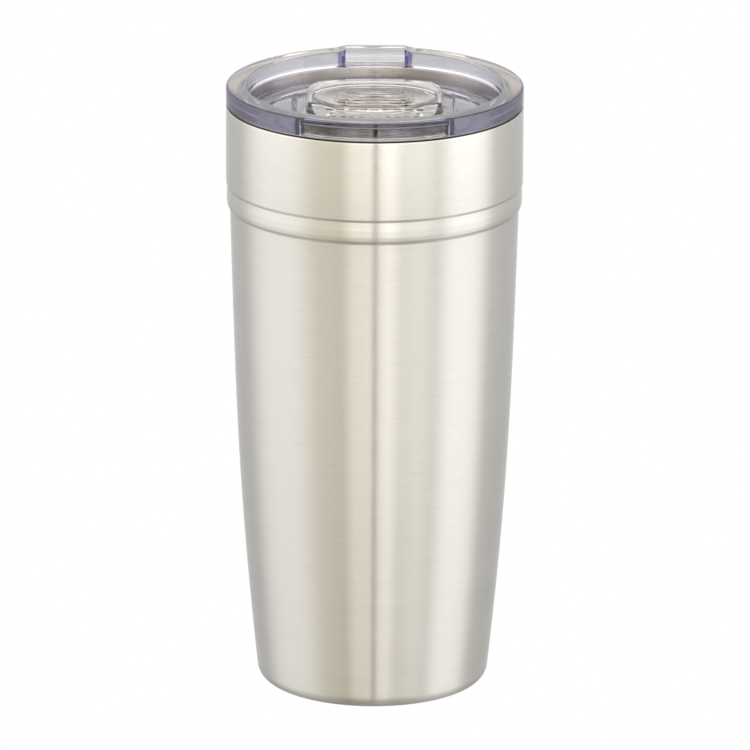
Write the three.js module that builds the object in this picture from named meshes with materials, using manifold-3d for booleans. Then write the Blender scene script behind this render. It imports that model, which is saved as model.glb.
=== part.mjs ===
// Vacuum-insulated steel tumbler with a clear press-on lid and a sliding closure.
// Millimetres, +Z up, origin at the centre of the foot ring. -Y is the drinking side of the lid.
import * as THREE from "three";
import { mergeVertices } from "three/addons/utils/BufferGeometryUtils.js";
import Module from "manifold-3d";

const wasm = await Module();
wasm.setup();

// ---- driving dimensions ----
const SEGMENTS = 40; // facets round every turned piece
const RIM_RADIUS = 44; // lid flange and the straight upper part of the cup
const LIP_Z = 177.8; // top of the steel lip
const TOP_Z = 183.4; // top of the lid
const SEAT_GAP = 0.3; // lid flange above the steel lip

// outer wall
const OUTER_SHEET = 0.6; // wall thickness
const FOOT_INNER_RADIUS = 28.6;
const FOOT_OUTER_RADIUS = 30.1;
const HEEL_RADIUS = 4.4; // rounding between the foot and the side
const HEEL_TILT = 6; // degrees from upright at the lowest part of the side
const SIDE_TOP = { r: 42.83, z: 146.2 }; // where the tapered side meets the band
const SIDE_SLOPE_LOW = 0.106; // radius gained for each millimetre of height
const SIDE_SLOPE_HIGH = 0.03;
const SIDE_HANDLE = 57; // how far each slope carries into the curve
const BAND = [
  // the pressed band under the rim: [radius, height] of its outer face, from the side up to the straight top
  [42.98, 146.6],
  [43.56, 147.3],
  [43.74, 148.6],
  [43.76, 150.6],
  [43.62, 153.2],
  [RIM_RADIUS, 153.9],
];
const LIP = { inner: 41.7, thickness: 0.8, rounding: 0.9 }; // the lip turned in over the liner

// inner liner
const LINER_SHEET = 0.5;
const MOUTH_RADIUS = 40.4;
const WALL_GAP = 3.5; // outer face of the cup to the inner face of the liner
const LINER_FLOOR_Z = 10;
const LINER_FLOOR_RADIUS = 23.9;
const LINER_HEEL_RADIUS = 7;
const SEAT_BOTTOM_Z = 162; // the straight mouth that the gasket seals against
const JOINT_GAP = 0.1; // between two pieces that are welded or pressed together

// radiation foil
const FOIL_SHEET = 0.2;
const FOIL_STANDOFF = 0.4;

// base, as heights above the table
const CAP = { radius: 28.4, sheet: 0.6, edge: 0.4, plate: 2.8, dimple: 3.6, dimpleRadius: 5.5, hole: 1.6 };
const COVER = { radius: 27.2, low: 1.8, thickness: 0.8, chamfer: 0.5 };
const SEAL_BEAD = { radius: 2.8, stem: 1.4, low: 2.9, top: 4.5 };
const GETTER_CUP = { x: 15, radius: 5, low: 3.7, height: 2.3, sheet: 0.4 };
const PELLET = { radius: 4.2, height: 1.5, chamfer: 0.4 };

// lid
const WELL_TOP_RADIUS = 38;
const WELL_BOTTOM_RADIUS = 37.3;
const LEDGE_Z = 175.2;
const FLOOR_Z = 174.2;
const FLOOR_THICKNESS = 2;
const RECESS_RADIUS = 31.2;
const LEDGE_RADIUS = 36; // underside of the ledge, where the skirt starts
const SKIRT = { outer: 39.9, inner: 37.4, bottom: 167.6, chamfer: 0.7 };
const FLANGE_POCKET_TOP_Z = 181.4;
const TOP_ROUNDING = 0.8;
const WELL_EDGE = 0.4; // chamfer round the mouth of the well
const WELL_FILLET = 0.7; // foot of the well wall
const GROOVE = { r: 38.8, low: 169.4, high: 173.4 };
const GASKET_GAP = 0.2;
const FRONT_POCKET = { middle: -90, halfAngle: 30, inner: 40.1, outer: 42.2 }; // in the flange, from below
const BACK_POCKET = { middle: 90, halfAngle: 14.6, inner: 41.1, outer: 42.7 }; // in the flange and the tab
const SIDE_LAND = { x: 23, radius: 31.9, rise: 0.5 }; // raised floor either side of the slider
const TAB = { reach: 45.3, halfFlat: 8.7, halfRoot: 12.2, shoulder: 42, root: 37.6, bottom: 178.1 };
const BACK_FLAT = { near: 34, far: 39.3, halfNear: 13.2, halfFar: 9.2, bottom: 178.8 }; // flares towards the well
const VENT = { radius: 1, y: 27 }; // behind the slider

// slider
const TRAVEL = 10;
const SLIDER_LOW = FLOOR_Z + 0.3; // underside of the slider, clear of the floor it runs on
const SLIDER_STEP = LEDGE_Z + 0.4; // underside of the part that passes over the ledge
const SLIDER = { halfWidth: 20.4, back: 21, front: -24, corner: 16.4, fullness: 0.7 };
const FOOT = { back: 17.4, radius: 30.2 }; // the part of the slider that stays inside the sunken floor
const CROWN = { z: 180.1, back: 17, front: -8 };
const BROW = { y: -12.5, z: 179.3 };
const NOSE_Z = 177.2;
const TAIL_Z = 179.6;
const SCOOP = { x: 18.4, y: 13.6, depth: 2.7, centreY: 0.2, rise: 0.15 };
const GRIP = { count: 5, front: -4, pitch: 3.3, halfWidth: 12, halfThickness: 0.5, low: 177, top: 178.5 };
const SHELL = { wall: 1.8, skin: 1.4 }; // thickness of the slider's sides and of its top
const WING = { halfWidth: 21.8, front: -14, back: 3.5, top: 175.7 };
const LEG = { x: 10, y: 2, width: 2.4, length: 5, bottom: 168.4, top: 177, barb: 0.6 };
const LEG_PLAY = 0.4; // round each leg in its slot
const RETAINER = { halfWidth: 13.2, halfLength: 3.6, low: 169.5, high: 171.6, play: 0.2 };
const DRINK_HOLE = { halfWidth: 11, halfLength: 3.75, y: -17.25 };
const PAD = { halfWidth: 13.2, halfLength: 5.4, low: FLOOR_Z + 0.15, high: 175.9, play: 0.2, wall: 1 };
const CUT_MARGIN = 1; // how far a cutting shape runs past the face it cuts

// ---- materials ----
const steel = (color, roughness) => new THREE.MeshStandardMaterial({ color, roughness, metalness: 1 });
const BRUSHED_STEEL = steel(0xd6d1c6, 0.35);
const LINER_STEEL = steel(0xb9b7b4, 0.3);
const FOIL = steel(0xd9dadb, 0.25);
const GETTER = steel(0x4a4a4c, 0.7);
const SEAL_GLASS = new THREE.MeshStandardMaterial({ color: 0x6f7a70, roughness: 0.2, metalness: 0 });
const clear = (color) =>
  new THREE.MeshStandardMaterial({ color, roughness: 0.05, metalness: 0, transparent: true, opacity: 0.35 });
const CLEAR_LID = clear(0xdcdcec);
const CLEAR_SLIDER = clear(0xece8e6);
const SILICONE = new THREE.MeshStandardMaterial({ color: 0xe4e4e6, roughness: 0.6, metalness: 0 });

// ---- shape helpers ----

// A solid of revolution about Z from [radius, height] points, anticlockwise, closed on itself or on the axis.
function revolve(profile) {
  const onAxis = profile[0][0] === 0;
  const loop = onAxis ? profile : [...profile, profile[0]];
  const points = loop.map(([r, z]) => new THREE.Vector2(r, z));
  return new THREE.LatheGeometry(points, SEGMENTS).rotateX(Math.PI / 2);
}

// The point on a circle round the origin at an angle in degrees from the first axis.
function onCircle(radius, degrees) {
  const angle = THREE.MathUtils.degToRad(degrees);
  return [radius * Math.cos(angle), radius * Math.sin(angle)];
}

// Points [r, z] along an arc, in degrees from the +r direction.
function arc(r, z, radius, from, to, steps) {
  return Array.from({ length: steps + 1 }, (_, i) => {
    const [dr, dz] = onCircle(radius, from + ((to - from) * i) / steps);
    return [r + dr, z + dz];
  });
}

// The gently bowed side of a wall, from its foot to its top, with the cup's two slopes at the ends.
function bowedSide(foot, top, steps) {
  const curve = new THREE.CubicBezierCurve(
    new THREE.Vector2(foot.r, foot.z),
    new THREE.Vector2(foot.r + SIDE_HANDLE * SIDE_SLOPE_LOW, foot.z + SIDE_HANDLE),
    new THREE.Vector2(top.r - SIDE_HANDLE * SIDE_SLOPE_HIGH, top.z - SIDE_HANDLE),
    new THREE.Vector2(top.r, top.z),
  );
  return curve.getPoints(steps).map((p) => [p.x, p.y]);
}

// The same points, moved inwards by a sheet's thickness and read from top to bottom.
const innerFace = (points, thickness) => points.map(([r, z]) => [r - thickness, z]).reverse();

// An upright prism of a 2-D shape between two heights.
function prism(shape, low, high, curveSegments = 6) {
  const options = { depth: high - low, bevelEnabled: false, curveSegments };
  return new THREE.ExtrudeGeometry(shape, options).translate(0, 0, low);
}

// A box from its lowest to its highest corner.
function block([x0, y0, z0], [x1, y1, z1]) {
  const box = new THREE.BoxGeometry(x1 - x0, y1 - y0, z1 - z0);
  return box.translate((x0 + x1) / 2, (y0 + y1) / 2, (z0 + z1) / 2);
}

// A slot outline with round ends, centred on (0, y).
function stadium(halfWidth, halfLength, y) {
  const straight = halfWidth - halfLength;
  const shape = new THREE.Shape();
  shape.absarc(straight, y, halfLength, -Math.PI / 2, Math.PI / 2, false);
  shape.absarc(-straight, y, halfLength, Math.PI / 2, (3 * Math.PI) / 2, false);
  return shape;
}

// The slider's plan: short straight sides and full, rounded ends, drawn in by an inset.
function sliderPlan(inset = 0) {
  const w = SLIDER.halfWidth - inset;
  const back = SLIDER.back - inset;
  const front = SLIDER.front + inset;
  const corner = SLIDER.corner - inset;
  const x = SLIDER.fullness * w;
  const y = (1 - SLIDER.fullness) * corner;
  const shape = new THREE.Shape();
  shape.moveTo(w, front + corner);
  shape.lineTo(w, back - corner);
  shape.bezierCurveTo(w, back - y, x, back, 0, back);
  shape.bezierCurveTo(-x, back, -w, back - y, -w, back - corner);
  shape.lineTo(-w, front + corner);
  shape.bezierCurveTo(-w, front + y, -x, front, 0, front);
  shape.bezierCurveTo(x, front, w, front + y, w, front + corner);
  return shape;
}

// A closed geometry as a solid that can be cut and joined.
function toSolid(geometry) {
  const bare = geometry.clone().deleteAttribute("normal").deleteAttribute("uv");
  const merged = mergeVertices(bare, 1e-4);
  const triVerts = new Uint32Array(merged.index.array);
  const vertProperties = new Float32Array(merged.attributes.position.array);
  return new wasm.Manifold(new wasm.Mesh({ numProp: 3, vertProperties, triVerts }));
}

// A solid back as a geometry.
function toGeometry(solid) {
  const mesh = solid.getMesh();
  const geometry = new THREE.BufferGeometry();
  geometry.setAttribute("position", new THREE.BufferAttribute(mesh.vertProperties.slice(), 3));
  geometry.setIndex(new THREE.BufferAttribute(mesh.triVerts.slice(), 1));
  const flat = geometry.toNonIndexed();
  flat.computeVertexNormals();
  return flat;
}

// Solids joined together, with others then cut away.
function carved(joined, cut) {
  const whole = joined.reduce((solid, next) => solid.add(next));
  return toGeometry(cut.reduce((solid, next) => solid.subtract(next), whole));
}

// ---- the steel cup ----

// Outer wall: foot ring, round heel, bowed side, pressed band, straight top and a lip turned inwards.
function outerWall() {
  const heel = arc(FOOT_OUTER_RADIUS, HEEL_RADIUS, HEEL_RADIUS, -90, -HEEL_TILT, 4);
  const [heelR, heelZ] = heel.at(-1);
  const side = bowedSide({ r: heelR, z: heelZ }, SIDE_TOP, 6);
  const bend = RIM_RADIUS - LIP.rounding;
  const under = LIP_Z - LIP.thickness;
  return revolve([
    [FOOT_INNER_RADIUS, 0],
    ...heel,
    ...side.slice(1),
    ...BAND,
    ...arc(bend, LIP_Z - LIP.rounding, LIP.rounding, 0, 90, 3),
    [LIP.inner, LIP_Z],
    [LIP.inner, under],
    [RIM_RADIUS - 2 * OUTER_SHEET, under],
    [RIM_RADIUS - OUTER_SHEET, under - OUTER_SHEET],
    ...innerFace([...side, ...BAND], OUTER_SHEET),
    [FOOT_OUTER_RADIUS, OUTER_SHEET],
    [FOOT_INNER_RADIUS, OUTER_SHEET],
  ]);
}

// The round heel and the side of the liner's inner face, from the floor upwards.
function linerInside() {
  const centreZ = LINER_FLOOR_Z + LINER_HEEL_RADIUS;
  const heel = arc(LINER_FLOOR_RADIUS, centreZ, LINER_HEEL_RADIUS, -90, -HEEL_TILT, 3);
  const [heelR, heelZ] = heel.at(-1);
  const side = bowedSide({ r: heelR, z: heelZ }, { r: SIDE_TOP.r - WALL_GAP, z: SIDE_TOP.z }, 5);
  return { heel, side };
}

// Inner liner: the drawn cup that holds the drink, with its mouth turned out to meet the lip.
function innerLiner() {
  const { heel, side } = linerInside();
  const inside = [...heel, ...side.slice(1), [MOUTH_RADIUS, SEAT_BOTTOM_Z]];
  const outside = inside.slice(1).map(([r, z]) => [r + LINER_SHEET, z]);
  const brim = LIP.inner - JOINT_GAP;
  const under = LIP_Z - LIP.thickness;
  return revolve([
    [0, LINER_FLOOR_Z - LINER_SHEET],
    [LINER_FLOOR_RADIUS, LINER_FLOOR_Z - LINER_SHEET],
    ...outside,
    [MOUTH_RADIUS + LINER_SHEET, under - LINER_SHEET],
    [brim, under],
    [brim, LIP_Z],
    [MOUTH_RADIUS + LINER_SHEET, LIP_Z],
    [MOUTH_RADIUS, LIP_Z - LINER_SHEET],
    ...inside.reverse(),
    [0, LINER_FLOOR_Z],
  ]);
}

// Radiation foil: a thin sleeve standing off the liner's side inside the vacuum.
function radiationFoil() {
  const outwards = LINER_SHEET + FOIL_STANDOFF + FOIL_SHEET;
  const outer = linerInside().side.map(([r, z]) => [r + outwards, z]);
  return revolve([...outer, ...innerFace(outer, FOIL_SHEET)]);
}

// Base cap: the pressed disc welded inside the foot, with a dimple round the evacuation hole.
function baseCap() {
  const slope = CAP.dimple - CAP.plate;
  const lower = [
    [CAP.hole, CAP.dimple],
    [CAP.dimpleRadius, CAP.dimple],
    [CAP.dimpleRadius + 2 * slope, CAP.plate],
    [CAP.radius - CAP.sheet, CAP.plate],
    [CAP.radius - CAP.sheet, CAP.edge],
  ];
  return revolve([
    ...lower,
    [CAP.radius, CAP.edge],
    [CAP.radius, CAP.plate + CAP.sheet],
    [CAP.dimpleRadius + 2 * slope, CAP.plate + CAP.sheet],
    [CAP.dimpleRadius, CAP.dimple + CAP.sheet],
    [CAP.hole, CAP.dimple + CAP.sheet],
  ]);
}

// Vacuum seal: the glass bead that closes the evacuation hole.
function vacuumSeal() {
  return revolve([
    [0, SEAL_BEAD.low],
    [SEAL_BEAD.radius - 0.4, SEAL_BEAD.low + 0.1],
    [SEAL_BEAD.radius, CAP.dimple - JOINT_GAP],
    [SEAL_BEAD.stem, CAP.dimple - JOINT_GAP],
    [SEAL_BEAD.stem, SEAL_BEAD.top - 0.2],
    [0, SEAL_BEAD.top],
  ]);
}

// Base cover: the round plate that hides the dimple and the bead.
function baseCover() {
  return revolve([
    [0, COVER.low],
    [COVER.radius - COVER.chamfer, COVER.low],
    [COVER.radius, COVER.low + COVER.chamfer],
    [COVER.radius, COVER.low + COVER.thickness],
    [0, COVER.low + COVER.thickness],
  ]);
}

// Getter cup: holds the pellet that soaks up stray gas inside the vacuum.
function getterCup() {
  const { radius, low, height, sheet } = GETTER_CUP;
  return revolve([
    [0, low],
    [radius, low],
    [radius, low + height],
    [radius - sheet, low + height],
    [radius - sheet, low + sheet],
    [0, low + sheet],
  ]);
}

function getterPellet() {
  const low = GETTER_CUP.low + GETTER_CUP.sheet + JOINT_GAP;
  return revolve([
    [0, low],
    [PELLET.radius, low],
    [PELLET.radius, low + PELLET.height - PELLET.chamfer],
    [PELLET.radius - PELLET.chamfer, low + PELLET.height],
    [0, low + PELLET.height],
  ]);
}

// ---- the lid ----

// Turned body of the lid: flange, well, ledge, sunken floor, skirt and gasket groove.
function lidTurning() {
  const under = FLOOR_Z - FLOOR_THICKNESS;
  const step = LEDGE_Z - FLOOR_Z;
  return revolve([
    [0, under],
    [RECESS_RADIUS, under],
    [RECESS_RADIUS + step, under + step],
    [LEDGE_RADIUS, under + step],
    [SKIRT.inner, under],
    [SKIRT.inner, SKIRT.bottom],
    [SKIRT.outer - SKIRT.chamfer, SKIRT.bottom],
    [SKIRT.outer, SKIRT.bottom + SKIRT.chamfer],
    [SKIRT.outer, GROOVE.low],
    [GROOVE.r, GROOVE.low],
    [GROOVE.r, GROOVE.high],
    [SKIRT.outer, GROOVE.high],
    [SKIRT.outer, LIP_Z + SEAT_GAP],
    [RIM_RADIUS, LIP_Z + SEAT_GAP],
    ...arc(RIM_RADIUS - TOP_ROUNDING, TOP_Z - TOP_ROUNDING, TOP_ROUNDING, 0, 90, 2),
    [WELL_TOP_RADIUS + WELL_EDGE, TOP_Z],
    [WELL_TOP_RADIUS, TOP_Z - WELL_EDGE],
    [WELL_BOTTOM_RADIUS, LEDGE_Z + WELL_FILLET],
    [WELL_BOTTOM_RADIUS - WELL_FILLET, LEDGE_Z],
    [RECESS_RADIUS + step, LEDGE_Z],
    [RECESS_RADIUS, FLOOR_Z],
    [0, FLOOR_Z],
  ]);
}

// A pocket moulded into the flange from below: part of a ring between two radii.
function flangePocket({ middle, halfAngle, inner, outer }) {
  const ring = revolve([
    [inner, LIP_Z],
    [outer, LIP_Z],
    [outer, FLANGE_POCKET_TOP_Z],
    [inner, FLANGE_POCKET_TOP_Z],
  ]);
  const reach = 2 * RIM_RADIUS;
  const wedge = new THREE.Shape();
  wedge.lineTo(...onCircle(reach, middle - halfAngle));
  wedge.lineTo(...onCircle(reach, middle + halfAngle));
  return toSolid(ring).intersect(toSolid(prism(wedge, LIP_Z - CUT_MARGIN, TOP_Z)));
}

// The straight-edged lift tab at the back, which stands proud of the flange.
function liftTab() {
  const plan = new THREE.Shape();
  plan.moveTo(-TAB.halfRoot, TAB.root);
  plan.lineTo(TAB.halfRoot, TAB.root);
  plan.lineTo(TAB.halfRoot, TAB.shoulder);
  plan.lineTo(TAB.halfFlat, TAB.reach);
  plan.lineTo(-TAB.halfFlat, TAB.reach);
  plan.lineTo(-TAB.halfRoot, TAB.shoulder);
  return prism(plan, TAB.bottom, TOP_Z);
}

// The raised part of the sunken floor on one side of the slider.
function sideLand(side) {
  const { x, radius, rise } = SIDE_LAND;
  const half = Math.acos(x / radius);
  const plan = new THREE.Shape();
  plan.absarc(0, 0, radius, -half, half, false);
  const land = prism(plan, FLOOR_Z - rise, FLOOR_Z + rise, 10);
  return side > 0 ? land : land.rotateZ(Math.PI);
}

// The flat at the back of the well, in front of the lift tab, with flared sides.
function backFlat() {
  const { near, far, halfNear, halfFar, bottom } = BACK_FLAT;
  const plan = new THREE.Shape();
  plan.moveTo(-halfNear, near);
  plan.lineTo(halfNear, near);
  plan.lineTo(halfFar, far);
  plan.lineTo(-halfFar, far);
  return prism(plan, bottom, TOP_Z + CUT_MARGIN);
}

// The slot in the floor that one slider leg runs along.
function legSlot(side) {
  const halfWidth = LEG.width / 2 + LEG_PLAY;
  const halfLength = LEG.length / 2 + LEG_PLAY;
  const x = side * LEG.x;
  const low = [x - halfWidth, LEG.y - halfLength, FLOOR_Z - FLOOR_THICKNESS - CUT_MARGIN];
  return block(low, [x + halfWidth, LEG.y + halfLength + TRAVEL, FLOOR_Z + CUT_MARGIN]);
}

function lidBody() {
  const low = FLOOR_Z - FLOOR_THICKNESS - CUT_MARGIN;
  const high = FLOOR_Z + CUT_MARGIN;
  const drinkHole = prism(stadium(DRINK_HOLE.halfWidth, DRINK_HOLE.halfLength, DRINK_HOLE.y), low, high, 5);
  const ventHole = new THREE.CylinderGeometry(VENT.radius, VENT.radius, high - low, 12);
  ventHole.rotateX(Math.PI / 2).translate(0, VENT.y, (low + high) / 2);
  const lands = [-1, 1].map(sideLand);
  const slots = [-1, 1].map(legSlot);
  const pockets = [FRONT_POCKET, BACK_POCKET].map(flangePocket);
  const cuts = [drinkHole, ventHole, backFlat(), ...slots].map(toSolid);
  const joined = [lidTurning(), ...lands, liftTab()].map(toSolid);
  return carved(joined, [...pockets, ...cuts]);
}

// Lid gasket: a silicone ring with two sealing lips.
function lidGasket() {
  const back = GROOVE.r + GASKET_GAP;
  const low = GROOVE.low + GASKET_GAP;
  const high = GROOVE.high - GASKET_GAP;
  const lip = MOUTH_RADIUS - GASKET_GAP;
  const lipOffset = (high - low) / 5;
  return revolve([
    [back, low],
    [SKIRT.outer, low],
    [lip, low + lipOffset],
    [SKIRT.outer, (low + high) / 2],
    [lip, high - lipOffset],
    [SKIRT.outer, high],
    [back, high],
  ]);
}

// ---- the slider ----

// The slider's side view, swept across more than its width.
function sliderSweep() {
  const frontEnd = SLIDER.front - CUT_MARGIN;
  const backEnd = SLIDER.back + CUT_MARGIN;
  const points = [
    [frontEnd, SLIDER_LOW],
    [FOOT.back, SLIDER_LOW],
    [FOOT.back, SLIDER_STEP],
    [backEnd, SLIDER_STEP],
    [backEnd, TAIL_Z],
    [CROWN.back, CROWN.z],
    [CROWN.front, CROWN.z],
    [BROW.y, BROW.z],
    [frontEnd, NOSE_Z],
  ];
  const side = new THREE.Shape(points.map(([y, z]) => new THREE.Vector2(y, z)));
  const reach = WING.halfWidth;
  const swept = new THREE.ExtrudeGeometry(side, { depth: 2 * reach, bevelEnabled: false });
  // The shape's (x, y) are the slider's (y, z): stand it up, then turn it to sweep along x.
  return swept.translate(0, 0, -reach).rotateX(Math.PI / 2).rotateZ(Math.PI / 2);
}

// Everything low down that would meet the ledge at the back end of the travel.
function sliderUndercut() {
  const slab = block([-30, -40, SLIDER_LOW - CUT_MARGIN], [30, 40, SLIDER_STEP]);
  const kept = new THREE.CylinderGeometry(FOOT.radius, FOOT.radius, 10, SEGMENTS).rotateX(Math.PI / 2);
  return toSolid(slab).subtract(toSolid(kept.translate(0, -TRAVEL, LEDGE_Z)));
}

// The oval finger scoop, made bigger all round by a margin.
function fingerScoop(margin = 0) {
  const scoop = new THREE.SphereGeometry(1, 24, 12).rotateX(Math.PI / 2);
  scoop.scale(SCOOP.x + margin, SCOOP.y + margin, SCOOP.depth + margin);
  return toSolid(scoop.translate(0, SCOOP.centreY, CROWN.z + SCOOP.rise));
}

// An upright plug round the slider seal, bigger all round by a margin.
function sealPlug(margin, high) {
  const outline = stadium(PAD.halfWidth + margin, PAD.halfLength + margin, DRINK_HOLE.y);
  return toSolid(prism(outline, SLIDER_LOW - CUT_MARGIN, high, 5));
}

// The hollow under the slider's skin, open below, with a wall left standing round the seal.
function sliderHollow() {
  const inside = toSolid(prism(sliderPlan(SHELL.wall), SLIDER_LOW - 2 * CUT_MARGIN, CROWN.z, 5));
  const underSkin = toSolid(sliderSweep().translate(0, 0, -SHELL.skin));
  const sealWall = sealPlug(PAD.play + PAD.wall, CROWN.z).subtract(sealPlug(PAD.play, CROWN.z));
  return inside.intersect(underSkin).subtract(fingerScoop(SHELL.skin)).subtract(sealWall);
}

// One leg, which drops through the floor and ends in a barb under the retainer.
function sliderLeg(side) {
  const half = LEG.width / 2;
  const x = side * LEG.x;
  const [y0, y1] = [LEG.y - LEG.length / 2, LEG.y + LEG.length / 2];
  const shank = block([x - half, y0, LEG.bottom], [x + half, y1, LEG.top]);
  const [b0, b1] = side > 0 ? [x, x + half + LEG.barb] : [x - half - LEG.barb, x];
  const barb = block([b0, y0, LEG.bottom], [b1, y1, RETAINER.low - RETAINER.play]);
  return [shank, barb];
}

function slider() {
  const blank = toSolid(prism(sliderPlan(), SLIDER_LOW - CUT_MARGIN, CROWN.z + CUT_MARGIN));
  const wings = block([-WING.halfWidth, WING.front, SLIDER_LOW], [WING.halfWidth, WING.back, WING.top]);
  const grips = Array.from({ length: GRIP.count }, (_, i) => {
    const y = GRIP.front + i * GRIP.pitch;
    const low = [-GRIP.halfWidth, y - GRIP.halfThickness, GRIP.low];
    return block(low, [GRIP.halfWidth, y + GRIP.halfThickness, GRIP.top]);
  });
  const shell = blank
    .intersect(toSolid(sliderSweep()))
    .add(toSolid(wings))
    .subtract(sliderUndercut())
    .subtract(fingerScoop())
    .subtract(sliderHollow())
    .subtract(sealPlug(PAD.play, PAD.high + PAD.play));
  const added = [...grips, ...sliderLeg(-1), ...sliderLeg(1)].map(toSolid);
  return carved([shell, ...added], []);
}

// Slider retainer: the bar under the floor that the legs snap through.
function sliderRetainer() {
  const { halfWidth, halfLength, low, high, play } = RETAINER;
  const bar = block([-halfWidth, LEG.y - halfLength, low], [halfWidth, LEG.y + halfLength, high]);
  const holes = [-1, 1].map((side) => {
    const x = side * LEG.x;
    const [dx, dy] = [LEG.width / 2 + play, LEG.length / 2 + play];
    return block([x - dx, LEG.y - dy, low - CUT_MARGIN], [x + dx, LEG.y + dy, high + CUT_MARGIN]);
  });
  return carved([toSolid(bar)], holes.map(toSolid));
}

// Slider seal: the silicone pad that closes the drink hole.
function sliderSeal() {
  return prism(stadium(PAD.halfWidth, PAD.halfLength, DRINK_HOLE.y), PAD.low, PAD.high, 5);
}

// ---- assembly ----
function piece(name, geometry, material) {
  const mesh = new THREE.Mesh(geometry, material);
  mesh.name = name;
  return mesh;
}

const cup = new THREE.Group();
cup.add(
  piece("outer_wall", outerWall(), BRUSHED_STEEL),
  piece("inner_liner", innerLiner(), LINER_STEEL),
  piece("radiation_foil", radiationFoil(), FOIL),
  piece("base_cap", baseCap(), BRUSHED_STEEL),
  piece("base_cover", baseCover(), BRUSHED_STEEL),
  piece("vacuum_seal", vacuumSeal(), SEAL_GLASS),
);

const getter = new THREE.Group();
getter.add(piece("getter_cup", getterCup(), LINER_STEEL), piece("getter_pellet", getterPellet(), GETTER));
getter.position.x = GETTER_CUP.x;
cup.add(getter);

const lid = new THREE.Group();
lid.add(piece("lid_body", lidBody(), CLEAR_LID), piece("lid_gasket", lidGasket(), SILICONE));

const closure = new THREE.Group();
closure.add(
  piece("slider", slider(), CLEAR_SLIDER),
  piece("slider_retainer", sliderRetainer(), CLEAR_SLIDER),
  piece("slider_seal", sliderSeal(), SILICONE),
);
lid.add(closure);

const tumbler = new THREE.Group();
tumbler.add(cup, lid);

export default tumbler;
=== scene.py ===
"""Looks of the insulated tumbler: brushed steel cup, clear press-on lid and its clear slider.

Metres, +Z up, -Y towards the drinking side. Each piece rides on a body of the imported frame.
"""

import math

import bmesh
import bpy
from mathutils import Matrix, Vector


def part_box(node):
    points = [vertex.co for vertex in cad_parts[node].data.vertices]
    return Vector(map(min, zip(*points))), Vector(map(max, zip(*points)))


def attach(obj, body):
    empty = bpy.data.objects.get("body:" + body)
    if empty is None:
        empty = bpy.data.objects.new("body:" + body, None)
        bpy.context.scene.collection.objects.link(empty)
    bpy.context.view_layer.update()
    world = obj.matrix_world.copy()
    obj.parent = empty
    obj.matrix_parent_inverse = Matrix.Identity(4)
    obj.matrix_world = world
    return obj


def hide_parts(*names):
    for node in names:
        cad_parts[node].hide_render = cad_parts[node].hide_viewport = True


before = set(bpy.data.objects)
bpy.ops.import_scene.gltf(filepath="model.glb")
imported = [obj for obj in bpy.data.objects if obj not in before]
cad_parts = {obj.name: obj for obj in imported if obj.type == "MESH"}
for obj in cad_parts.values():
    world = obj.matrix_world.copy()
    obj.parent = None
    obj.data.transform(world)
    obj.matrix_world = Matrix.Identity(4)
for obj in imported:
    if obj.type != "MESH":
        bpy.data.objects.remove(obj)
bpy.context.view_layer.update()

# ---- driving dimensions, in metres; heights and radii that the frame knows come from it ----
MM = 0.001
CUP_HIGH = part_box("outer_wall")[1]
LID_LOW, LID_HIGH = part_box("lid_body")
RIM_RADIUS = CUP_HIGH.x
LIP_Z = CUP_HIGH.z
TOP_Z = LID_HIGH.z

TURNED_SEGMENTS = 240  # facets round every turned piece

# cup
OUTER_SHEET = 0.6 * MM
FOOT_INNER = 28.6 * MM
FOOT_OUTER = 30.1 * MM
HEEL_RADIUS = 4.4 * MM
HEEL_TILT = 6  # degrees from upright at the foot of the side
SIDE_TOP = (42.83 * MM, 146.2 * MM)  # radius and height where the side meets the band
SLOPE_LOW = 0.106  # radius gained for each unit of height at the foot of the side
SLOPE_HIGH = 0.03
SIDE_HANDLE = 57 * MM  # how far each slope carries into the curve
BAND = (  # the pressed band: radius, height and rounding of each corner of its outer face, from the side up
    (*SIDE_TOP, 0.4 * MM),
    (42.98 * MM, 146.6 * MM, 0.8 * MM),
    (43.56 * MM, 147.3 * MM, 1 * MM),
    (43.74 * MM, 148.6 * MM, 3 * MM),
    (43.76 * MM, 150.6 * MM, 3 * MM),
    (43.62 * MM, 153.2 * MM, 0.7 * MM),
    (RIM_RADIUS, 153.9 * MM, 1.2 * MM),
)
STRAIGHT_Z = 160 * MM  # a height on the straight upper part
LIP_ROUNDING = 0.9 * MM
LIP_INNER = 41.7 * MM
LIP_UNDER_Z = LIP_Z - 0.8 * MM  # underside of the lip
LINER_SHEET = 0.5 * MM
WALL_GAP = 3.5 * MM
LINER_FLOOR_Z = 10 * MM
LINER_FLOOR_RADIUS = 23.9 * MM
LINER_HEEL = 7 * MM
MOUTH_RADIUS = 40.4 * MM
SEAT_BOTTOM_Z = 162 * MM
LINER_BRIM = LIP_INNER - 0.1 * MM

# base
CAP_HOLE = 1.6 * MM
CAP_RADIUS = 28.4 * MM
CAP_SHEET = 0.6 * MM
CAP_EDGE_Z = 0.4 * MM
CAP_PLATE_Z = 2.8 * MM
CAP_DIMPLE_Z = 3.6 * MM
CAP_DIMPLE = (5.5 * MM, 7.1 * MM)  # radius of the dimple's floor and of its rim
COVER_RADIUS = 27.2 * MM
COVER_LOW_Z = 1.8 * MM
COVER_HIGH_Z = 2.6 * MM

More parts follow.
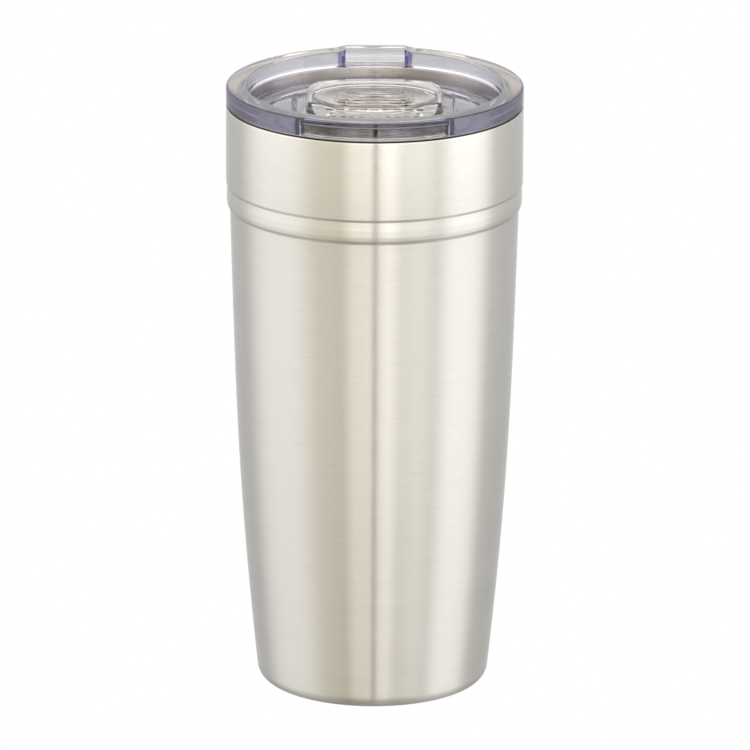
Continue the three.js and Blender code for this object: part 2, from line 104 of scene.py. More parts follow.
# lid
WELL_RADIUS = 38.1 * MM
WELL_FOOT_RADIUS = 37.3 * MM
LEDGE_Z = TOP_Z - 8.2 * MM
FLOOR_Z = TOP_Z - 9.2 * MM
FLOOR_UNDER_Z = FLOOR_Z - 2 * MM
RECESS_RADIUS = 31.2 * MM
LEDGE_RADIUS = 36 * MM  # underside of the ledge, where the skirt starts
SKIRT_OUTER = 39.9 * MM
SKIRT_INNER = 37.4 * MM
POCKET_TOP_Z = TOP_Z - 2 * MM  # the pockets moulded into the flange from below
FRONT_POCKET = (-90, 30, 40.1 * MM, 42.2 * MM)  # middle and half angle in degrees, inner and outer radius
BACK_POCKET = (90, 14.6, 41.1 * MM, 42.7 * MM)
FLANGE_BOTTOM_Z = LIP_Z + 0.3 * MM
GROOVE_RADIUS = 38.8 * MM
GROOVE_LOW = LID_LOW.z + 1.8 * MM
GROOVE_HIGH = LID_LOW.z + 5.8 * MM
GASKET_PLAY = 0.2 * MM  # round the gasket, in its groove and to the mouth
TAB_ROOT = (12.2 * MM, 37.6 * MM)  # x and y of the lift tab's corners on the right
TAB_SHOULDER = (12.2 * MM, 42 * MM)
TAB_TIP = (8.9 * MM, LID_HIGH.y)
BACK_FLAT_NEAR = (13.2 * MM, 34 * MM)  # x and y of the flat's corners on the right
BACK_FLAT_FAR = (9.2 * MM, 39.3 * MM)
BACK_FLAT_Z = TOP_Z - 4.6 * MM
SIDE_LAND_RADIUS = 31.9 * MM
SIDE_LAND_X = 23 * MM  # its straight inner edge
SIDE_LAND_RISE = 0.5 * MM
VENT_RADIUS = 1 * MM
VENT_Y = 27 * MM  # behind the slider
DRINK_HOLE_HALF = (11 * MM, 3.75 * MM)
DRINK_HOLE_Y = -17.25 * MM

# slider
TRAVEL = 10 * MM
SLIDER_HALF_WIDTH = 20.4 * MM
SLIDER_BACK = 21 * MM
SLIDER_FRONT = -24 * MM
SLIDER_CORNER = 16.4 * MM  # length of each rounded end
SLIDER_FULLNESS = 0.7
SLIDER_EDGE = 1.1 * MM  # rounding of the top edge
SLIDER_WALL = 1.8 * MM  # thickness of the sides
SLIDER_SKIN = 1.4 * MM  # thickness of the top
SLIDER_LOW = FLOOR_Z + 0.3 * MM
SLIDER_STEP = LEDGE_Z + 0.4 * MM
CROWN_Z = TOP_Z - 3.3 * MM
FRONT_SLOPE = 0.165  # fall of the top in front of its brow
BROW_Y = (-8 * MM, -12.5 * MM)  # from where to where the top drops to the brow
BROW_DROP = 0.8 * MM
TAIL_Y = (15 * MM, 21 * MM)
TAIL_DROP = 0.5 * MM
INNER_RADIUS = 29.4 * MM  # the part of the slider that stays inside the sunken floor over the whole travel
INNER_BACK = 17.4 * MM
SCOOP = Vector((18.4, 13.6, 2.7)) * MM  # half axes of the oval finger scoop
SCOOP_Y = 0.2 * MM
SCOOP_Z = CROWN_Z + 0.15 * MM
RIDGE_RADIUS = 0.55 * MM
RIDGE_HALF_WIDTH = 12 * MM
RIDGE_ROWS = [(-4 + 3.3 * i) * MM for i in range(5)]
GRIP_BAR_ROWS = (  # y, count, pitch and half width of the short bars on the front slope
    (-13 * MM, 9, 3.3 * MM, 1 * MM),
    (-18 * MM, 10, 2.7 * MM, 0.7 * MM),
)
GRIP_BAR_HALF = 0.4 * MM
WING_X = (19.5 * MM, 21.8 * MM)
WING_Y = (-14 * MM, 3.5 * MM)
WING_HEIGHT = 1.2 * MM
LEG_X = 10 * MM
LEG_Y = (-0.5 * MM, 4.5 * MM)
LEG_HALF_WIDTH = 1.2 * MM
LEG_BOTTOM_Z = TOP_Z - 15 * MM
LEG_TOP_Z = TOP_Z - 6.4 * MM
BARB_REACH = 1.8 * MM  # from the middle of the leg
BARB_HEIGHT = 0.9 * MM
SLOT_PLAY = 0.4 * MM  # round each leg in its slot
RETAINER_PLAY = 0.2 * MM  # round each leg in the retainer
SEAL_PLAY = 0.2 * MM  # round the seal in its wall
SEAL_WALL = 1 * MM

# camera
CAMERA_ELEVATION = 16.806  # degrees above the horizon
CAMERA_DISTANCE = 3.0
CAMERA_LENS = 483.5  # millimetres on a 36 mm sensor
CAMERA_ROLL = 0.25  # degrees
CAMERA_TARGET = Vector((0.0004, 0, 0.0937))


# ---- mesh helpers ----


def add_object(name, mesh, body, node, surface):
    """Links a mesh as a piece that rides on a body and stands for a CAD node."""
    piece = bpy.data.objects.new(name, mesh)
    bpy.context.scene.collection.objects.link(piece)
    mesh.materials.append(surface)
    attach(piece, body)
    if node:
        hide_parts(node)
    return piece


def rounded(corners, steps=5):
    """A loop of [radius, height, fillet] corners as plain points, with each fillet turned into an arc.

    Corners on the axis stay sharp. The loop is anticlockwise, with the radius to the right.
    """
    points = []
    count = len(corners)
    for i, (r, z, fillet) in enumerate(corners):
        here = Vector((r, z))
        if fillet == 0:
            points.append((r, z))
            continue
        before = Vector(corners[i - 1][:2]) - here
        after = Vector(corners[(i + 1) % count][:2]) - here
        half = before.angle(after) / 2
        cut = min(fillet / math.tan(half), 0.49 * before.length, 0.49 * after.length)
        radius = cut * math.tan(half)
        start = here + before.normalized() * cut
        end = here + after.normalized() * cut
        centre = here + (before.normalized() + after.normalized()).normalized() * (radius / math.sin(half))
        for k in range(steps + 1):
            arm = (start - centre).lerp(end - centre, k / steps)
            swept = centre + arm.normalized() * radius
            points.append((swept.x, swept.y))
    return points


def lathe(name, profile, segments=TURNED_SEGMENTS):
    """Closed mesh of revolution about Z. The profile is a loop, or starts and ends on the axis."""
    bm = bmesh.new()
    turns = [2 * math.pi * i / segments for i in range(segments)]
    rings = []
    for r, z in profile:
        spots = [(0, 0, z)] if r == 0 else [(r * math.cos(a), r * math.sin(a), z) for a in turns]
        rings.append([bm.verts.new(spot) for spot in spots])
    pairs = list(zip(rings, rings[1:]))
    if profile[0][0] > 0:
        pairs.append((rings[-1], rings[0]))
    for low, high in pairs:
        for i in range(segments):
            j = (i + 1) % segments
            corners = [low[i % len(low)], low[j % len(low)], high[j % len(high)], high[i % len(high)]]
            corners = list(dict.fromkeys(corners))
            if len(corners) > 2:
                bm.faces.new(corners)
    mesh = bpy.data.meshes.new(name)
    bm.to_mesh(mesh)
    bm.free()
    return smooth(mesh)


def smooth(mesh, sharp_degrees=35):
    """Smooth shading that breaks at sharp edges."""
    mesh.shade_smooth()
    mesh.set_sharp_from_angle(angle=math.radians(sharp_degrees))
    return mesh


def block(low, high, bevel=0.0, segments=3):
    """A box with rounded edges, from its lowest to its highest corner."""
    bm = bmesh.new()
    bmesh.ops.create_cube(bm, size=1)
    low, high = Vector(low), Vector(high)
    size = high - low
    place = Matrix.Translation((low + high) / 2) @ Matrix.Diagonal((*size, 1))
    bmesh.ops.transform(bm, matrix=place, verts=bm.verts)
    if bevel:
        bmesh.ops.bevel(bm, geom=bm.edges[:], offset=bevel, segments=segments, profile=0.5, affect="EDGES")
    return finished(bm, "block")


def prism(outline, low, high, bevel=0.0, segments=3):
    """An upright prism of an outline of (x, y) points, with rounded edges top and bottom."""
    bm = bmesh.new()
    base = bm.faces.new([bm.verts.new((x, y, low)) for x, y in outline])
    lifted = bmesh.ops.extrude_face_region(bm, geom=[base])
    moved = [v for v in lifted["geom"] if isinstance(v, bmesh.types.BMVert)]
    bmesh.ops.translate(bm, verts=moved, vec=(0, 0, high - low))
    bmesh.ops.recalc_face_normals(bm, faces=bm.faces)
    if bevel:
        ends = [e for e in bm.edges if abs(e.verts[0].co.z - e.verts[1].co.z) < 1e-7]
        bmesh.ops.bevel(bm, geom=ends, offset=bevel, segments=segments, profile=0.5, affect="EDGES")
    return finished(bm, "prism")


def finished(bm, name):
    """The built geometry as a mesh, with its faces turned outwards."""
    bmesh.ops.recalc_face_normals(bm, faces=bm.faces)
    mesh = bpy.data.meshes.new(name)
    bm.to_mesh(mesh)
    bm.free()
    return mesh


def combine(mesh, joined, cut):
    """The mesh with others joined on and others cut away, by exact booleans."""
    base = bpy.data.objects.new("base", mesh)
    bpy.context.scene.collection.objects.link(base)
    tools = []
    for operation, meshes in (("UNION", joined), ("DIFFERENCE", cut)):
        for tool_mesh in meshes:
            tool = bpy.data.objects.new("tool", tool_mesh)
            bpy.context.scene.collection.objects.link(tool)
            tools.append(tool)
            step = base.modifiers.new("step", "BOOLEAN")
            step.operation = operation
            step.solver = "EXACT"
            step.object = tool
    graph = bpy.context.evaluated_depsgraph_get()
    result = bpy.data.meshes.new_from_object(base.evaluated_get(graph))
    for spare in [base, *tools]:
        bpy.data.objects.remove(spare)
    return smooth(result)


def merged(meshes):
    """Several meshes that do not touch, as one mesh."""
    bm = bmesh.new()
    for mesh in meshes:
        bm.from_mesh(mesh)
    return finished(bm, "merged")


def ball(centre, half_axes, segments=64, rings=32):
    """An ellipsoid."""
    bm = bmesh.new()
    bmesh.ops.create_uvsphere(bm, u_segments=segments, v_segments=rings, radius=1)
    place = Matrix.Translation(centre) @ Matrix.Diagonal((*half_axes, 1))
    bmesh.ops.transform(bm, matrix=place, verts=bm.verts)
    return finished(bm, "ball")


def rod(y, z, half_length, radius):
    """A rod with round ends, lying along X."""
    profile = arc_outline(half_length, 0, radius, 0, 90, 6)
    profile += [(-x, r) for x, r in reversed(profile)]
    profile[0], profile[-1] = (profile[0][0], 0), (profile[-1][0], 0)
    mesh = lathe("rod", [(r, x) for x, r in reversed(profile)], 20)
    mesh.transform(Matrix.Translation((0, y, z)) @ Matrix.Rotation(math.pi / 2, 4, "Y"))
    return mesh


def arc_outline(centre_x, centre_y, radius, start, end, steps=12):
    """Points on an arc, from one angle in degrees to another."""
    turns = [math.radians(start + (end - start) * i / steps) for i in range(steps + 1)]
    return [(centre_x + radius * math.cos(a), centre_y + radius * math.sin(a)) for a in turns]


def stadium(half_width, half_length, y):
    """A slot outline with round ends, centred on (0, y)."""
    straight = half_width - half_length
    right = arc_outline(straight, y, half_length, -90, 90, 16)
    left = arc_outline(-straight, y, half_length, 90, 270, 16)
    return right + left


def bezier(p0, p1, p2, p3, steps):
    """Points on a cubic curve."""
    p0, p1, p2, p3 = (Vector(p) for p in (p0, p1, p2, p3))
    points = []
    for i in range(steps + 1):
        t = i / steps
        s = 1 - t
        points.append(tuple(p0 * s**3 + p1 * (3 * s * s * t) + p2 * (3 * s * t * t) + p3 * t**3))
    return points


def smoothstep(low, high, value):
    """Nothing up to low, one from high on, and a smooth rise between them. High may be the lower number."""
    t = min(1.0, max(0.0, (value - low) / (high - low)))
    return t * t * (3 - 2 * t)


# ---- materials ----


def new_material(name):
    """An empty node material and its Principled shader."""
    made = bpy.data.materials.new(name)
    made.use_nodes = True
    return made, made.node_tree, made.node_tree.nodes["Principled BSDF"]


def add_node(tree, kind, **settings):
    """A new node with some of its properties set."""
    node = tree.nodes.new(kind)
    for key, value in settings.items():
        setattr(node, key, value)
    return node


def math_node(tree, operation, a, b):
    """A sum on two values, each either fixed or coming from another node."""
    node = add_node(tree, "ShaderNodeMath", operation=operation)
    for socket, value in zip(node.inputs, (a, b)):
        if isinstance(value, (int, float)):
            socket.default_value = value
        else:
            tree.links.new(value, socket)
    return node.outputs["Value"]


def noise(tree, scale, detail=3.0, roughness=0.5):
    """Noise in object space, with its own scale along x, y and z, in cycles per metre."""
    place = add_node(tree, "ShaderNodeTexCoord")
    stretch = add_node(tree, "ShaderNodeMapping")
    stretch.inputs["Scale"].default_value = scale
    pattern = add_node(tree, "ShaderNodeTexNoise")
    pattern.inputs["Scale"].default_value = 1
    pattern.inputs["Detail"].default_value = detail
    pattern.inputs["Roughness"].default_value = roughness
    tree.links.new(place.outputs["Object"], stretch.inputs["Vector"])
    tree.links.new(stretch.outputs["Vector"], pattern.inputs["Vector"])
    return pattern.outputs["Fac"]


def ranged(tree, source, low, high, from_low=0.25, from_high=0.75):
    """A source mapped from its middle range to low..high."""
    mapped = add_node(tree, "ShaderNodeMapRange")
    mapped.inputs["From Min"].default_value = from_low
    mapped.inputs["From Max"].default_value = from_high
    mapped.inputs["To Min"].default_value = low
    mapped.inputs["To Max"].default_value = high
    tree.links.new(source, mapped.inputs["Value"])
    return mapped.outputs["Result"]


def mixed_colour(tree, factor, first, second):
    """A mix of two colours, each either fixed or coming from another node."""
    mix = add_node(tree, "ShaderNodeMix", data_type="RGBA")
    for socket, colour in ((mix.inputs["A"], first), (mix.inputs["B"], second)):
        if isinstance(colour, tuple):
            socket.default_value = (*colour, 1)
        else:
            tree.links.new(colour, socket)
    tree.links.new(factor, mix.inputs["Factor"])
    return mix.outputs["Result"]


def bumped(tree, height, distance, before=None):
    """A bump of a given depth in metres, on top of another bump."""
    bump = add_node(tree, "ShaderNodeBump")
    bump.inputs["Strength"].default_value = 1
    bump.inputs["Distance"].default_value = distance
    tree.links.new(height, bump.inputs["Height"])
    if before:
        tree.links.new(before, bump.inputs["Normal"])
    return bump.outputs["Normal"]


def height_band(tree, middle, half_height):
    """One within half a height of a level, falling to nothing just beyond it."""
    place = add_node(tree, "ShaderNodeTexCoord")
    split = add_node(tree, "ShaderNodeSeparateXYZ")
    tree.links.new(place.outputs["Object"], split.inputs["Vector"])
    above = math_node(tree, "SUBTRACT", split.outputs["Z"], middle)
    return ranged(tree, math_node(tree, "ABSOLUTE", above, 0), 1, 0, 0.7 * half_height, half_height)


def brushed_steel(name, light, dark, roughness, line_depth, wave_depth, lip_joint_shade=None):
    """Steel brushed round its axis: fine rings, uneven from ring to ring, and soft long ripples.

    A lip joint shade is the height and half height of a dark band of painted shade, standing in for the
    shadow in the joint above it.
    """
    made, tree, shader = new_material(name)
    rings = noise(tree, (70, 70, 3000), detail=4, roughness=0.7)
    patches = noise(tree, (25, 25, 140), detail=2)
    ripples = noise(tree, (320, 320, 1100), detail=2)
    shader.inputs["Metallic"].default_value = 1
    shader.inputs["Anisotropic"].default_value = 1
    shader.inputs["Anisotropic Rotation"].default_value = 0.25
    around = add_node(tree, "ShaderNodeTangent", direction_type="RADIAL", axis="Z")
    tree.links.new(around.outputs["Tangent"], shader.inputs["Tangent"])
    colour = mixed_colour(tree, ranged(tree, rings, 0, 1), dark, light)
    if lip_joint_shade:
        # painted shade: a near-black band standing in for the shadow in the joint under the lid
        colour = mixed_colour(tree, height_band(tree, *lip_joint_shade), colour, (0.06, 0.05, 0.045))
    tree.links.new(colour, shader.inputs["Base Color"])
    tree.links.new(ranged(tree, patches, roughness - 0.03, roughness + 0.03), shader.inputs["Roughness"])
    lines = bumped(tree, rings, line_depth)
    tree.links.new(bumped(tree, ripples, wave_depth, lines), shader.inputs["Normal"])
    return made


def lid_coordinates(tree):
    """Distance from the middle plane, depth towards the back, radius, height and angle from the front."""
    place = add_node(tree, "ShaderNodeTexCoord")
    split = add_node(tree, "ShaderNodeSeparateXYZ")
    tree.links.new(place.outputs["Object"], split.inputs["Vector"])
    aside = math_node(tree, "ABSOLUTE", split.outputs["X"], 0)
    ahead = math_node(tree, "MULTIPLY", split.outputs["Y"], -1)
    across, along = math_node(tree, "POWER", aside, 2), math_node(tree, "POWER", ahead, 2)
    return {
        "aside": aside,
        "back": split.outputs["Y"],
        "height": split.outputs["Z"],
        "radius": math_node(tree, "SQRT", math_node(tree, "ADD", across, along), 0),
        "angle": math_node(tree, "DEGREES", math_node(tree, "ARCTAN2", aside, ahead), 0),
    }


def within(tree, value, low, high, fade):
    """One between two limits, with a soft fade inside each."""
    above = ranged(tree, value, 0, 1, low, low + fade)
    below = ranged(tree, value, 1, 0, high - fade, high)
    return math_node(tree, "MULTIPLY", above, below)


def zone(tree, coordinates, limits):
    """One where every named coordinate is within its low and high limits, each with a soft fade."""
    share = None
    for name, span in limits.items():
        part = within(tree, coordinates[name], *span)
        share = math_node(tree, "MULTIPLY", share, part) if share else part
    return share


def zoned_painted_tint(tree, coordinates, zones):
    """White, with a painted tint in each zone."""
    colour = (1.0, 1.0, 1.0)
    for limits, tint in zones:
        colour = mixed_colour(tree, zone(tree, coordinates, limits), colour, tint)
    return colour


def clear_plastic(name, tint, density, roughness=0.02, ripple=0.0, zones=(), haze=None):
    """Clear moulded plastic that takes on its tint with thickness, with tints of painted shade and painted
    reflections in some zones.

    Haze is the limits of a zone and the share of its light that a milky skin scatters there.
    """
    made, tree, shader = new_material(name)
    shader.inputs["Base Color"].default_value = (1, 1, 1, 1)
    shader.inputs["Transmission Weight"].default_value = 1
    coordinates = lid_coordinates(tree) if zones or haze else {}
    if zones:
        tree.links.new(zoned_painted_tint(tree, coordinates, zones), shader.inputs["Base Color"])
    if haze:
        limits, share = haze
        milky = ranged(tree, zone(tree, coordinates, limits), 1, 1 - share, 0, 1)
        tree.links.new(milky, shader.inputs["Transmission Weight"])
    shader.inputs["IOR"].default_value = 1.55
    wear = noise(tree, (220, 220, 220), detail=3)
    tree.links.new(ranged(tree, wear, roughness, 2 * roughness), shader.inputs["Roughness"])
    if ripple:
        flow = noise(tree, (160, 160, 160), detail=1)
        tree.links.new(bumped(tree, flow, ripple), shader.inputs["Normal"])
    absorption = add_node(tree, "ShaderNodeVolumeAbsorption")
    absorption.inputs["Color"].default_value = (*tint, 1)
    absorption.inputs["Density"].default_value = density
    output = tree.nodes["Material Output"]
    tree.links.new(absorption.outputs["Volume"], output.inputs["Volume"])
    return made


def silicone():
    """Clear silicone with a dusty, finely uneven skin."""
    made, tree, shader = new_material("silicone")
    skin = noise(tree, (900, 900, 900), detail=3)
    cloud = noise(tree, (90, 90, 90))
    colour = mixed_colour(tree, ranged(tree, cloud, 0, 1), (0.84, 0.84, 0.86), (0.92, 0.92, 0.93))
    tree.links.new(colour, shader.inputs["Base Color"])
    tree.links.new(ranged(tree, skin, 0.12, 0.2), shader.inputs["Roughness"])
    shader.inputs["Transmission Weight"].default_value = 0.95
    shader.inputs["IOR"].default_value = 1.41
    tree.links.new(bumped(tree, skin, 0.00001), shader.inputs["Normal"])
    return made


def plain_metal(name, dark, light, roughness, grain):
    """Unbrushed metal with a fine grain, for the pieces sealed inside."""
    made, tree, shader = new_material(name)
    speckle = noise(tree, (grain, grain, grain), detail=4)
    shader.inputs["Metallic"].default_value = 1
    tree.links.new(mixed_colour(tree, ranged(tree, speckle, 0, 1), dark, light), shader.inputs["Base Color"])
    tree.links.new(ranged(tree, speckle, roughness, roughness + 0.15), shader.inputs["Roughness"])
    tree.links.new(bumped(tree, speckle, 0.00002), shader.inputs["Normal"])
    return made


LIP_JOINT_SHADE = (LIP_Z - 0.27 * MM, 0.25 * MM)  # painted shade just under the lip, standing in for the shadow of the joint under the lid
CUP_STEEL = brushed_steel(
    "cup_steel",
    light=(0.87, 0.867, 0.85),
    dark=(0.79, 0.787, 0.775),
    roughness=0.31,
    line_depth=1.5e-6,
    wave_depth=1.2e-5,
    lip_joint_shade=LIP_JOINT_SHADE,
)
LINER_STEEL = brushed_steel(
    "liner_steel",
    light=(0.86, 0.83, 0.80),
    dark=(0.74, 0.71, 0.69),
    roughness=0.35,
    line_depth=1.5e-6,
    wave_depth=1e-5,
)

# Zones of the lid, as the lowest and highest value of each coordinate and the fade inside them.
FLANGE_TOP = {
    "radius": (38.4 * MM, 43.7 * MM, 0.3 * MM),
    "height": (TOP_Z - 0.2 * MM, TOP_Z + MM, 0.1 * MM),
}
FLANGE_EDGE = {
    "radius": (43.2 * MM, 44.2 * MM, 0.2 * MM),
    "height": (TOP_Z - 0.8 * MM, TOP_Z + MM, 0.3 * MM),
}
POCKET_FACES = {
    "radius": (40 * MM, 42.4 * MM, 0.05 * MM),
    "height": (TOP_Z - 4.6 * MM, TOP_Z - 1.8 * MM, 0.3 * MM),
}
OUTER_FACE = {
    "radius": (43.6 * MM, 44.4 * MM, 0.1 * MM),
    "height": (LIP_Z, TOP_Z - 0.2 * MM, 0.2 * MM),
}
OVER_POCKET = {
    "radius": (43.6 * MM, 44.4 * MM, 0.1 * MM),
    "height": (TOP_Z - 2.2 * MM, TOP_Z - 0.4 * MM, 0.3 * MM),
}
BACK_RIB = {
    "aside": (8.7 * MM, 11.2 * MM, 0.3 * MM),
    "height": (TOP_Z - 4.8 * MM, TOP_Z - 0.1 * MM, 0.2 * MM),
    "back": (35.6 * MM, 41 * MM, 0.1 * MM),
}
BEYOND_POCKET = (29.8, 96, 0.3)  # degrees from the front, over the solid part of the outer face
# Painted shade and painted reflections on the lid's plastic, where it looks deeper than its thickness makes
# it: a darker shade of its own violet painted on its thick ribs and edges, the faces of the front pocket
# painted with reflections of the dark joint below, and a warm tint painted on the flange for the steel lip
# seen through it.
LID_PAINTED_SHADE_AND_REFLECTIONS = (
    # painted warm tint: the steel lip seen through the flange
    (FLANGE_TOP, (0.66, 0.54, 0.39)),
    # painted shade on the flange's outer edge
    (FLANGE_EDGE, (0.14, 0.14, 0.34)),
    # painted reflections of the dark joint and the steel's streaks on the front pocket's faces
    ({**POCKET_FACES, "angle": (-1, 30.2, 0.3)}, (0.46, 0.43, 0.52)),
    ({**POCKET_FACES, "angle": (13.5, 25.5, 1.5)}, (0.22, 0.21, 0.22)),
    ({**POCKET_FACES, "angle": (2, 7, 1)}, (0.34, 0.29, 0.25)),
    ({**POCKET_FACES, "angle": (-3, 1.8, 1)}, (0.11, 0.095, 0.09)),
    # painted shade over the front pocket and at its end, and a deeper violet painted on the rest of the
    # outer face and on the ribs by the tab
    ({**OVER_POCKET, "angle": (-1, 29.8, 0.1)}, (0.08, 0.075, 0.10)),
    ({**OUTER_FACE, "angle": BEYOND_POCKET}, (0.27, 0.27, 0.41)),
    ({**OUTER_FACE, "angle": (29.8, 32, 0.3)}, (0.03, 0.03, 0.11)),
    (BACK_RIB, (0.20, 0.19, 0.46)),
)
LID_HAZE = ({**OUTER_FACE, "angle": BEYOND_POCKET}, 0.4)
LID_PLASTIC = clear_plastic("lid_plastic", (0.76, 0.735, 0.86), 85, zones=LID_PAINTED_SHADE_AND_REFLECTIONS, haze=LID_HAZE)
SLIDER_PLASTIC = clear_plastic("slider_plastic", (0.87, 0.79, 0.71), 70, ripple=0.000006)
SILICONE = silicone()
FOIL = plain_metal("foil", (0.80, 0.80, 0.81), (0.92, 0.92, 0.93), 0.15, 400)
GETTER_ALLOY = plain_metal("getter_alloy", (0.10, 0.10, 0.11), (0.20, 0.20, 0.21), 0.6, 1500)
SEAL_GLASS = clear_plastic("seal_glass", (0.30, 0.42, 0.32), 600, 0.08)


# ---- the steel cup ----


def bowed_side(foot, top, steps):
    """The gently bowed side of a wall, from its foot to its top."""
    low = (foot[0] + SIDE_HANDLE * SLOPE_LOW, foot[1] + SIDE_HANDLE)
    high = (top[0] - SIDE_HANDLE * SLOPE_HIGH, top[1] - SIDE_HANDLE)
    return bezier(foot, low, high, top, steps)


def heel(radius, z, fillet):
    """The round heel of a wall, from its flat underside to the foot of its side."""
    return arc_outline(radius, z + fillet, fillet, -90, -HEEL_TILT, 14)


def shell_profile():
    """Outer wall: foot ring, heel, bowed side, the pressed band and the turned-in lip."""
    curve = heel(FOOT_OUTER, 0, HEEL_RADIUS)
    side = bowed_side(curve[-1], SIDE_TOP, 60)[:-1]
    band = rounded([(*side[-1], 0), *BAND, (RIM_RADIUS, STRAIGHT_Z, 0)])[1:]
    lip = arc_outline(RIM_RADIUS - LIP_ROUNDING, LIP_Z - LIP_ROUNDING, LIP_ROUNDING, 0, 90, 8)
    lip_inside = [
        (LIP_INNER, LIP_Z),
        (LIP_INNER, LIP_UNDER_Z),
        (RIM_RADIUS - MM, LIP_UNDER_Z),
        (RIM_RADIUS - OUTER_SHEET, LIP_UNDER_Z - OUTER_SHEET),
    ]
    inside = [(r - OUTER_SHEET, z) for r, z in reversed(side + band)]
    foot = [(FOOT_OUTER, OUTER_SHEET), (FOOT_INNER, OUTER_SHEET), (FOOT_INNER, 0)]
    return curve + side[1:] + band + lip + lip_inside + inside + foot


def liner_profile():
    """Inner liner: floor, heel, bowed side, straight mouth and the rolled brim."""
    curve = heel(LINER_FLOOR_RADIUS, LINER_FLOOR_Z, LINER_HEEL)
    top = (SIDE_TOP[0] - WALL_GAP, SIDE_TOP[1])
    inside = curve + bowed_side(curve[-1], top, 40)[1:] + [(MOUTH_RADIUS, SEAT_BOTTOM_Z)]
    floor_under = [(0, LINER_FLOOR_Z - LINER_SHEET), (LINER_FLOOR_RADIUS, LINER_FLOOR_Z - LINER_SHEET)]
    outside = [(r + LINER_SHEET, z) for r, z in inside[1:]]
    brim = [
        (MOUTH_RADIUS + LINER_SHEET, LIP_UNDER_Z - LINER_SHEET),
        (LINER_BRIM, LIP_UNDER_Z),
        (LINER_BRIM, LIP_Z),
    ]
    mouth = arc_outline(MOUTH_RADIUS + LINER_SHEET, LIP_Z - LINER_SHEET, LINER_SHEET, 90, 180, 6)
    return floor_under + outside + brim + mouth + inside[::-1] + [(0, LINER_FLOOR_Z)]


def cap_profile():
    """Base cap: a shallow pressed disc with a dimple round the evacuation hole."""
    floor_radius, rim_radius = CAP_DIMPLE
    inner = CAP_RADIUS - CAP_SHEET
    return rounded(
        [
            (CAP_HOLE, CAP_DIMPLE_Z, 0.2 * MM),
            (floor_radius, CAP_DIMPLE_Z, 0.5 * MM),
            (rim_radius, CAP_PLATE_Z, 0.5 * MM),
            (inner, CAP_PLATE_Z, 0.5 * MM),
            (inner, CAP_EDGE_Z, 0.2 * MM),
            (CAP_RADIUS, CAP_EDGE_Z, 0.2 * MM),
            (CAP_RADIUS, CAP_PLATE_Z + CAP_SHEET, 0.9 * MM),
            (rim_radius, CAP_PLATE_Z + CAP_SHEET, 0.5 * MM),
            (floor_radius, CAP_DIMPLE_Z + CAP_SHEET, 0.5 * MM),
            (CAP_HOLE, CAP_DIMPLE_Z + CAP_SHEET, 0.2 * MM),
        ]
    )


def cover_profile():
    """Base cover: a round plate with a softened lower edge."""
    return rounded(
        [
            (0, COVER_LOW_Z, 0),
            (COVER_RADIUS, COVER_LOW_Z, 0.5 * MM),
            (COVER_RADIUS, COVER_HIGH_Z, 0.2 * MM),
            (0, COVER_HIGH_Z, 0),
        ]
    )


def make_cup():
    """The steel pieces that show, and materials for the CAD nodes sealed inside."""
    for name, profile, slot_name, node, surface in (
        ("cup_shell", shell_profile(), "cup_steel", "outer_wall", CUP_STEEL),
        ("cup_liner", liner_profile(), "liner_steel", "inner_liner", LINER_STEEL),
        ("foot_cap", cap_profile(), "cup_steel", "base_cap", CUP_STEEL),
        ("foot_plate", cover_profile(), "cup_steel", "base_cover", CUP_STEEL),
    ):
        add_object(name, lathe(name, profile), "tumbler", node, surface)
    for node, surface in (
        ("radiation_foil", FOIL),
        ("vacuum_seal", SEAL_GLASS),
        ("getter_cup", LINER_STEEL),
        ("getter_pellet", GETTER_ALLOY),
    ):
        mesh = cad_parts[node].data
        mesh.materials.clear()
        mesh.materials.append(surface)


# ---- the lid ----


def lid_profile():
    """Turned body of the lid: floor, ledge, skirt with its groove, flange and well."""
    step = LEDGE_Z - FLOOR_Z
    return rounded(
        [
            (0, FLOOR_UNDER_Z, 0),
            (RECESS_RADIUS, FLOOR_UNDER_Z, 0.3 * MM),
            (RECESS_RADIUS + step, FLOOR_UNDER_Z + step, 0.3 * MM),
            (LEDGE_RADIUS, FLOOR_UNDER_Z + step, 0.5 * MM),
            (SKIRT_INNER, FLOOR_UNDER_Z, 0.8 * MM),
            (SKIRT_INNER, LID_LOW.z, 0.3 * MM),
            (SKIRT_OUTER, LID_LOW.z, 0.7 * MM),
            (SKIRT_OUTER, GROOVE_LOW, 0.15 * MM),
            (GROOVE_RADIUS, GROOVE_LOW, 0.15 * MM),
            (GROOVE_RADIUS, GROOVE_HIGH, 0.15 * MM),
            (SKIRT_OUTER, GROOVE_HIGH, 0.15 * MM),
            (SKIRT_OUTER, FLANGE_BOTTOM_Z, 0.4 * MM),
            (RIM_RADIUS, FLANGE_BOTTOM_Z, 0.3 * MM),
            (RIM_RADIUS, TOP_Z, 0.8 * MM),
            (WELL_RADIUS, TOP_Z, 0.5 * MM),
            (WELL_FOOT_RADIUS, LEDGE_Z, 0.8 * MM),
            (RECESS_RADIUS + step, LEDGE_Z, 0.3 * MM),
            (RECESS_RADIUS, FLOOR_Z, 0.3 * MM),
            (0, FLOOR_Z, 0),
        ]
    )


def flange_pocket(middle, half_angle, inner, outer):
    """A pocket moulded into the flange from below, centred on an angle in degrees from +X."""
    start, end = middle - half_angle, middle + half_angle
    outline = arc_outline(0, 0, outer, start, end, 40) + arc_outline(0, 0, inner, end, start, 40)
    return prism(outline, LIP_Z - MM, POCKET_TOP_Z, 0.3 * MM)


def mirrored(right_side):
    """A closed plan from the corners of its right side, from the front to the back."""
    return right_side + [(-x, y) for x, y in reversed(right_side)]


def lift_tab():
    """The straight-edged lift tab at the back, which stands proud of the flange."""
    plan = mirrored([TAB_ROOT, TAB_SHOULDER, TAB_TIP])
    return prism(plan, FLANGE_BOTTOM_Z + 0.05 * MM, TOP_Z - 0.01 * MM, 0.4 * MM)


